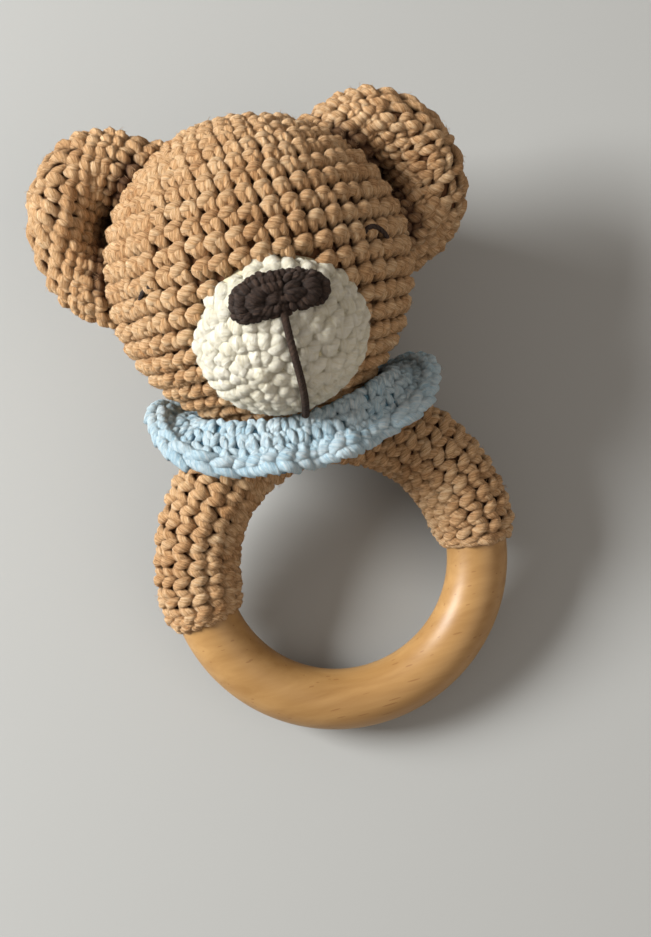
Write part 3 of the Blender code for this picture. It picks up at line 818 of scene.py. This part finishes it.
def valley_shade(upward):
    """Painted shade in the valley along an ear's root: how much deeper its stitches count there.
    """
    def shade(points):
        reach = np.linalg.norm(points - HEAD, axis=-1)
        along = np.abs((points - HEAD) @ upward)
        near = ease((VALLEY_OUT[1] - reach) / (VALLEY_OUT[1] - VALLEY_OUT[0]))
        inner = ease((VALLEY_ALONG[1] - along) / (VALLEY_ALONG[1] - VALLEY_ALONG[0]))
        return VALLEY_SHADE * near * inner

    return shade


def make_ears():
    """Two padded ears, and the stitches that hold them."""
    for name in ("left", "right"):
        surface, outward, upward = ear_surface(name)
        rows = rounds(0, 9, lambda number: min(6 * (number + 1), 30))
        ground = ground_mesh(f"ear_{name}_ground", surface, (0.0, 8.8), EAR_GROUND, BROWN_GROUND)
        stitches = crochet(f"ear_{name}_stitches", surface, rows, BROWN, radius=0.85,
                           legs=EAR_LEGS, jitter=0.09, hairs=900, shade=valley_shade(upward))
        start, end = (Vector(world(HEAD + outward * reach)) for reach in EAR_BLEND)
        for obj in (ground, stitches):
            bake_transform(obj)
            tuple(start)
            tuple(end)
        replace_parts(ground, "ear_" + name)
        make_ear_seam(name, outward)


def make_ear_seam(name, outward):
    """Whip stitches along the front of an ear's root."""
    count = 22
    turn = EAR_ROOT * np.linspace(-0.9, 0.9, count)
    middle = math.atan2(outward[1], abs(outward[0]))
    side = math.copysign(1.0, outward[0])
    near = HEAD_R + 1.0
    root = ear_profile(near * np.cos(turn), near * np.sin(turn), np.ones(count))
    paths = []
    for share in np.linspace(0.0, 1.0, 7):
        reach = HEAD_R - 1.3 + 1.0 * math.sin(math.pi * share)
        forward = root - 0.4 + 2.8 * share
        angle = middle + turn + 0.05 * (share - 0.5)
        flat = np.sqrt(reach ** 2 - forward ** 2)
        spots = [side * flat * np.cos(angle), flat * np.sin(angle), forward]
        paths.append(HEAD + np.stack(spots, axis=-1))
    paths = np.stack(paths, axis=1)
    out = unit(paths - HEAD)
    seam = yarn(f"ear_{name}_seam_stitches", paths, out, 0.42, BROWN, sides=8)
    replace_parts(soft(seam), f"ear_{name}_seam")


# ---- neck and collar

COLLAR_SIDE = 9.8  # length of its cloth at the sides and the back
COLLAR_FRONT = 9.5  # and in front
COLLAR_WAVES = 9
COLLAR_WAVE = 1.1
COLLAR_LEAN = math.radians(12.0)  # its left side stands higher than its right
LEFT_BUMP = 1.2  # one more wave at its left end
LEFT_BUMP_WIDTH = 0.22
SIDE_SLOPE = (math.radians(2.0), math.radians(8.0))  # at its inner edge and its rim
FRONT_SLOPE = (math.radians(35.0), math.radians(84.0))
REAR_SLOPE = (math.radians(-8.0), math.radians(-20.0))
COLLAR_CLIMB = 4.2  # how far its front climbs up the head from the neck
COLLAR_FOOT = 1.55  # lift of its inner edge off the head and sleeve
COLLAR_ROWS = 10.0  # rows from its inner edge to its rim
COLLAR_STITCHES = 46
COLLAR_AROUND = 360
COLLAR_LINES = 40
CLOTH_HALF = 0.35  # half the thickness of its cloth


def neck_ring(angle, lift):
    """Where a surface `lift` off the head meets a surface `lift` off the sleeve."""
    low = np.full(angle.shape, 4.0)
    high = np.full(angle.shape, 26.0)
    for _ in range(40):
        reach = (low + high) / 2.0
        x = reach * np.cos(angle)
        z = reach * np.sin(angle)
        y = HEAD_U - np.sqrt((HEAD_R + lift) ** 2 - reach ** 2)
        inside = np.hypot(np.hypot(x, y) - RING_R, z) < SLEEVE_OUT + lift
        low = np.where(inside, reach, low)
        high = np.where(inside, high, reach)
    return np.stack([x, y, z], axis=-1)


def collar_slope(edge, hang, rear):
    """The collar's slope at its inner edge, 0, or its rim, 1."""
    side = SIDE_SLOPE[edge]
    return side + (FRONT_SLOPE[edge] - side) * hang + (REAR_SLOPE[edge] - side) * rear


def collar_grid():
    """The collar's middle surface, (around, across, 3).

    It hangs in front, is flat at the sides and rises behind the head.
    """
    angle = full_circle(COLLAR_AROUND)
    hang = ease((np.sin(angle) - 0.10) / 0.60)  # 1 in front
    rear = ease((-np.sin(angle) + 0.05) / 0.45)  # 1 behind
    length = COLLAR_SIDE + (COLLAR_FRONT - COLLAR_SIDE) * hang
    start = collar_slope(0, hang, rear)
    end = collar_slope(1, hang, rear)
    wave = COLLAR_WAVE * (1.0 - np.cos(COLLAR_WAVES * (angle - math.pi / 2.0)))
    wave = wave * (1.0 - 0.8 * rear)
    wave = wave + LEFT_BUMP * np.exp(-((angle - math.pi) / LEFT_BUMP_WIDTH) ** 2)
    spot = neck_ring(angle, COLLAR_FOOT)
    outward = np.stack([np.cos(angle), np.zeros_like(angle), np.sin(angle)], axis=-1)
    reach = np.hypot(spot[:, 0], spot[:, 2]) + COLLAR_CLIMB * hang
    level = HEAD_U - np.sqrt((HEAD_R + COLLAR_FOOT) ** 2 - reach ** 2)
    spot = outward * reach[:, None] + UPWARD * level[:, None]
    lines = []
    for line in range(COLLAR_LINES):
        share = line / (COLLAR_LINES - 1)
        slope = start + (end - start) * min(1.0, share * 2.5) + COLLAR_LEAN * np.cos(angle)
        down = np.sin(slope)[:, None]
        level = np.cos(slope)[:, None]
        normal = outward * down + UPWARD * level
        lines.append(spot + normal * (wave * share * share)[:, None])
        spot = spot + (outward * level - UPWARD * down) * (length / (COLLAR_LINES - 1))[:, None]
    return np.stack(lines, axis=1)


COLLAR = collar_grid()


def collar_base(turn, row):
    """Point on the collar; row 0 is its inner edge."""
    column = np.mod(turn / FULL_TURN, 1.0) * COLLAR_AROUND
    line = np.clip(row / COLLAR_ROWS, 0.0, 1.0) * (COLLAR_LINES - 1)
    left = np.floor(column).astype(int) % COLLAR_AROUND
    near = np.minimum(np.floor(line).astype(int), COLLAR_LINES - 2)
    across = (column - np.floor(column))[..., None]
    along = (line - near)[..., None]
    right = (left + 1) % COLLAR_AROUND
    inner = COLLAR[left, near] * (1.0 - across) + COLLAR[right, near] * across
    outer = COLLAR[left, near + 1] * (1.0 - across) + COLLAR[right, near + 1] * across
    return inner * (1.0 - along) + outer * along


def collar_normal(turn, row):
    """The collar's upward normal."""
    turn_step = 0.05
    row_step = 0.3
    row = np.clip(row, row_step, COLLAR_ROWS - row_step)
    along_turn = collar_base(turn + turn_step, row) - collar_base(turn - turn_step, row)
    along_row = collar_base(turn, row + row_step) - collar_base(turn, row - row_step)
    return unit(np.cross(along_turn, along_row))


def collar_surface(turn, row, lift):
    """A surface off the collar; rows past the last one run on over its rim."""
    over = np.maximum(row - COLLAR_ROWS, 0.0)[..., None]
    rim = np.full(np.shape(turn), COLLAR_ROWS)
    way = collar_base(turn, rim) - collar_base(turn, rim - 1.0)
    lift = np.asarray(lift)[..., None]
    return collar_base(turn, row) + way * over + collar_normal(turn, row) * lift


def collar_underside(turn, row, lift):
    """The collar's other face."""
    return collar_surface(turn, row, -np.asarray(lift))


COLLAR_LEGS = [leg(0.06, 0.46, 0.06, -0.2, 1.25, low=-0.6, high=3.0, wide=1.05),
               leg(-0.04, -0.42, -0.06, -0.2, 1.05, low=-0.6, high=3.0, wide=1.0),
               leg(-0.50, 0.40, 0.0, -0.1, 1.0, low=1.6, high=2.9, wide=0.9)]
COLLAR_TIERS = ((3.2, 0.0), (6.0, 0.4), (8.8, 0.0))  # row and shift round the neck
RIM_LEGS = [leg(-0.20, 1.20, 0.0, 0.3, 1.35, low=-7.7, high=-9.5, wide=1.1, rings=10),
            leg(-0.20, 1.20, 0.0, 0.2, 1.0, low=-11.0, high=-9.6, wide=1.1, rings=10),
            leg(-0.20, 1.20, 0.0, -0.4, -0.9, low=-8.6, high=-9.9, rings=10)]


def rim_shade(_):
    """The rim's strands count as higher than they lie, so that none gets painted shade."""
    return -1.2


def make_collar():
    """A light blue ruffle: cloth, tiers of posts on both faces and a braided rim."""
    lines = np.linspace(0.0, 9.6, 24)
    rows = np.concatenate([lines, lines[::-1]])
    lift = np.repeat([CLOTH_HALF, -CLOTH_HALF], len(lines))
    turn, row = np.meshgrid(full_circle(240), rows, indexing="ij")
    cloth = sheet_mesh("collar_cloth", collar_surface(turn, row, lift), BLUE_GROUND, closed=True)
    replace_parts(soft(cloth), "collar")
    pitch = FULL_TURN / COLLAR_STITCHES
    spots = pitch * np.arange(COLLAR_STITCHES)
    tiers = [(np.full(COLLAR_STITCHES, level), spots + shift * pitch, pitch)
             for level, shift in COLLAR_TIERS]
    for face, surface in (("front", collar_surface), ("back", collar_underside)):
        piece = crochet(f"collar_{face}_stitches", surface, tiers, BLUE, radius=0.85,
                        legs=COLLAR_LEGS, sides=9, jitter=0.11, hairs=350)
        soft(piece)
    around = [(np.zeros(COLLAR_STITCHES), spots, pitch)]
    rim = crochet("collar_rim", collar_surface, around, BLUE, radius=1.15, legs=RIM_LEGS,
                  sides=10, jitter=0.09, hairs=350, shade=rim_shade)
    soft(rim)


def make_neck_seam():
    """The thread that sews the head to the sleeve, under the collar."""
    path = neck_ring(full_circle(180), 0.75)
    seam = yarn("neck_seam_strand", path[None], unit(HEAD - path)[None], 0.5, BROWN, sides=8,
                closed=True)
    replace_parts(soft(seam), "neck_seam")


# ---- sleeve and ring

SLEEVE_SKIN = SLEEVE_OUT - 1.8
SLEEVE_ROWS = 14
SLEEVE_STITCHES = 29
SLEEVE_GROUND = -0.35  # lift of the ground under the stitches
SLEEVE_SLIM = 1.3  # its ends are this much slimmer
SLEEVE_TAPER = 6.0  # over this length


def sleeve_surface(turn, row, lift):
    """The sleeve: turn runs along the ring, rows go round its tube from the inner side."""
    from_end = (SLEEVE_ARC - np.abs(turn)) * RING_R
    slim = SLEEVE_SLIM * np.clip(1.0 - from_end / SLEEVE_TAPER, 0.0, 1.0) ** 2
    around = row * FULL_TURN / SLEEVE_ROWS
    radius = SLEEVE_SKIN - slim + lift
    reach = RING_R - radius * np.cos(around)
    return np.stack([reach * np.sin(turn), reach * np.cos(turn), radius * np.sin(around)], axis=-1)


def make_sleeve():
    """Rows that run along the ring, and the ground under them."""
    step = 2.0 * SLEEVE_ARC / (SLEEVE_STITCHES + 0.6)
    turns = -SLEEVE_ARC + (np.arange(SLEEVE_STITCHES) + 0.35) * step
    rows = [(np.full(SLEEVE_STITCHES, number + 1.0), turns, step)
            for number in range(SLEEVE_ROWS)]
    sleeve = crochet("sleeve_stitches", sleeve_surface, rows, BROWN, radius=0.92,
                     keep=off_the_head, hairs=1300)
    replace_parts(soft(sleeve), "ring_sleeve")
    turn, row = np.meshgrid(np.linspace(-SLEEVE_ARC, SLEEVE_ARC, 90),
                            np.linspace(0.0, SLEEVE_ROWS, 49), indexing="ij")
    skin = sleeve_surface(turn, row, SLEEVE_GROUND)
    soft(sheet_mesh("sleeve_ground", skin, BROWN_GROUND, wrap=False))


def make_sleeve_edges():
    """A chain of links round each end of the sleeve."""
    links = 12
    pitch = SLEEVE_ROWS / links
    link_legs = [leg(-0.75, 0.10, -0.1, 0.1, 0.9, low=-0.1, high=1.3 * pitch),
                 leg(0.75, -0.10, 0.1, 0.1, 0.9, low=-0.1, high=1.3 * pitch)]
    levels = pitch * np.arange(1, links + 1)
    turn = SLEEVE_ARC - 0.035
    rows = [(levels, np.full(links, place), 1.0 / RING_R) for place in (-turn, turn)]
    soft(crochet("sleeve_edges", sleeve_surface, rows, BROWN, radius=0.85, legs=link_legs))


def make_sleeve_seam():
    """Whip stitches that close the sleeve on the ring's inner side."""
    count = 44
    arc = math.radians(88.0)
    turns = np.linspace(-arc, arc, count)
    step = turns[1] - turns[0]
    row = (np.zeros(count), turns, step)
    stitch = leg(-0.4, 0.5, 0.0, 0.3, 1.2, low=-0.55, high=0.55)
    seam = crochet("sleeve_seam_stitches", sleeve_surface, [row], BROWN, radius=0.55,
                   legs=[stitch], sides=8)
    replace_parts(soft(seam), "sleeve_seam")


def make_ring():
    """The turned beech ring with its grain."""
    angle = full_circle(240)[None, :]
    centre = RING_R * np.stack([np.sin(angle), np.cos(angle), np.zeros_like(angle)], axis=-1)
    out = np.broadcast_to(FORWARD, centre.shape)
    ring = yarn("ring_wood", centre, out, RING_TUBE, beech_material(), sides=64, ply_depth=0.0,
                flat=1.0, closed=True, floor=False)
    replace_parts(ring, "wood_ring")
    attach(ring, "ring")


def beech_material():
    """Oiled beech with a satin gloss: warm bands and short dark flecks along its grain."""
    material, tree, shader = new_material("beech", roughness=0.42, specular=0.4)
    link = tree.links.new
    place = node(tree, "ShaderNodeNewGeometry")
    grain = node(tree, "ShaderNodeMapping", vector_type="POINT")
    grain.inputs["Rotation"].default_value = (0.0, 0.0, math.radians(-28.0))
    grain.inputs["Scale"].default_value = (60.0, 600.0, 600.0)
    link(place.outputs["Position"], grain.inputs["Vector"])
    bands = node(tree, "ShaderNodeTexNoise", Scale=0.5, Detail=4.0, Roughness=0.6, Distortion=0.4)
    link(grain.outputs["Vector"], bands.inputs["Vector"])
    wood = colour_ramp(tree, bands.outputs["Fac"],
                       ((0.3, srgb(143, 107, 62)), (0.72, srgb(164, 128, 80))))
    flecks = node(tree, "ShaderNodeTexVoronoi", Scale=1.4, feature="F1")
    link(grain.outputs["Vector"], flecks.inputs["Vector"])
    spots = node(tree, "ShaderNodeMath", operation="LESS_THAN")
    link(flecks.outputs["Distance"], spots.inputs[0])
    spots.inputs[1].default_value = 0.14
    mix = node(tree, "ShaderNodeMix", data_type="RGBA")
    link(multiply_add(tree, spots.outputs[0], 0.42, 0.0), mix.inputs["Factor"])
    link(wood, mix.inputs["A"])
    mix.inputs["B"].default_value = (*srgb(112, 70, 34), 1.0)
    link(mix.outputs["Result"], shader.inputs["Base Color"])
    add_bump(tree, shader, bands.outputs["Fac"], 0.15, 0.0003)
    return material


# ---- pieces inside the head

def wadding_material():
    """Polyester wadding: white, soft and uneven."""
    material, tree, shader = new_material("wadding", colour=(*srgb(238, 238, 234), 1.0),
                                          roughness=1.0, sheen=0.3)
    fluff = noise_over(tree, Scale=700.0, Detail=6.0, Roughness=0.7)
    add_bump(tree, shader, fluff, 0.8, 0.001)
    return material


def plastic_material(name, colour, roughness, clear):
    """Moulded plastic with a slightly uneven gloss."""
    material, tree, shader = new_material(name, colour=(*colour, 1.0), clear=clear)
    wear = noise_over(tree, Scale=300.0, Detail=2.0)
    gloss = multiply_add(tree, wear, 0.5 * roughness, 0.8 * roughness)
    tree.links.new(gloss, shader.inputs["Roughness"])
    return material


def finish_inside():
    """Procedural finishes for the CAD pieces that stay: wadding, capsule and pellets."""
    wadding = wadding_material()
    capsule = plastic_material("capsule_plastic", srgb(230, 233, 236), 0.2, 0.6)
    pellet = plastic_material("pellet_plastic", srgb(200, 50, 42), 0.35, 0.0)
    finishes = {"stuffing_front": wadding, "stuffing_back": wadding, "muzzle_stuffing": wadding,
                "capsule_front": capsule, "capsule_back": capsule}
    for number in range(1, 6):
        finishes[f"pellet_{number}"] = pellet
    for name, material in finishes.items():
        mesh = bpy.data.objects[name].data
        mesh.materials.clear()
        mesh.materials.append(material)


# ---- stage

CAMERA_PLACE = (-14.9, 49.8, 292.8)
CAMERA_TURN = (-5.51, -4.18, -15.45)  # degrees, as one turn about one axis
CAMERA_LENS = 55.7
CAMERA_SENSOR = 36.0
LIGHTS = (("key", (-0.75, 0.35, 0.52), 0.4, 22.0, (1.0, 0.99, 0.96)),
          ("fill", (0.5, -0.5, 0.9), 0.9, 2.8, (1.0, 0.86, 0.72)))
SKY = (1.0, 0.91, 0.83, 1.0)
SKY_STRENGTH = 0.34
FLOOR_LEVEL = -0.2 * MM


def make_camera():
    """The photograph's view: nearly straight down on the toy, turned a little."""
    camera = bpy.data.objects.new("camera", bpy.data.cameras.new("camera"))
    bpy.context.scene.collection.objects.link(camera)
    turn = Vector([math.radians(angle) for angle in CAMERA_TURN])
    local = Matrix.Rotation(turn.length, 3, turn.normalized())
    basis = Matrix([list(row) for row in BASIS]).transposed()
    camera.matrix_world = Matrix.Translation(world(CAMERA_PLACE)) @ (basis @ local).to_4x4()
    camera.data.lens = CAMERA_LENS
    camera.data.sensor_width = CAMERA_SENSOR
    camera.data.clip_start = 0.01
    bpy.context.scene.camera = camera


def area_light(name, place, size, power, colour):
    """A square soft light aimed at the toy."""
    light = bpy.data.lights.new(name, "AREA")
    light.energy = power
    light.size = size
    light.color = colour
    obj = bpy.data.objects.new(name, light)
    bpy.context.scene.collection.objects.link(obj)
    obj.location = place
    obj.rotation_euler = (-Vector(place)).to_track_quat("-Z", "Y").to_euler()


def make_stage():
    """A plain pale floor and soft light from the upper left."""
    bpy.ops.mesh.primitive_plane_add(size=6.0, location=(0.0, 0.0, FLOOR_LEVEL))
    floor = bpy.context.object
    floor.name = "floor"
    paper = new_material("floor_paper", colour=(*srgb(154, 156, 156), 1.0), roughness=0.8)[0]
    floor.data.materials.append(paper)
    floor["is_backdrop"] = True
    for light in LIGHTS:
        area_light(*light)
    sky = bpy.data.worlds.new("studio")
    sky.use_nodes = True
    background = sky.node_tree.nodes["Background"]
    background.inputs["Color"].default_value = SKY
    background.inputs["Strength"].default_value = SKY_STRENGTH
    bpy.context.scene.world = sky
    bpy.context.scene.view_settings.view_transform = "Standard"


make_head()
make_muzzle()
make_muzzle_seam()
make_nose()
make_mouth()
make_eyes()
make_ears()
make_collar()
make_neck_seam()
make_sleeve()
make_sleeve_edges()
make_sleeve_seam()
make_ring()
finish_inside()
make_camera()
make_stage()

boxes = {"cad": cad_box, "visual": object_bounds()}
{key: [list(corner) for corner in box] for key, box in boxes.items()}
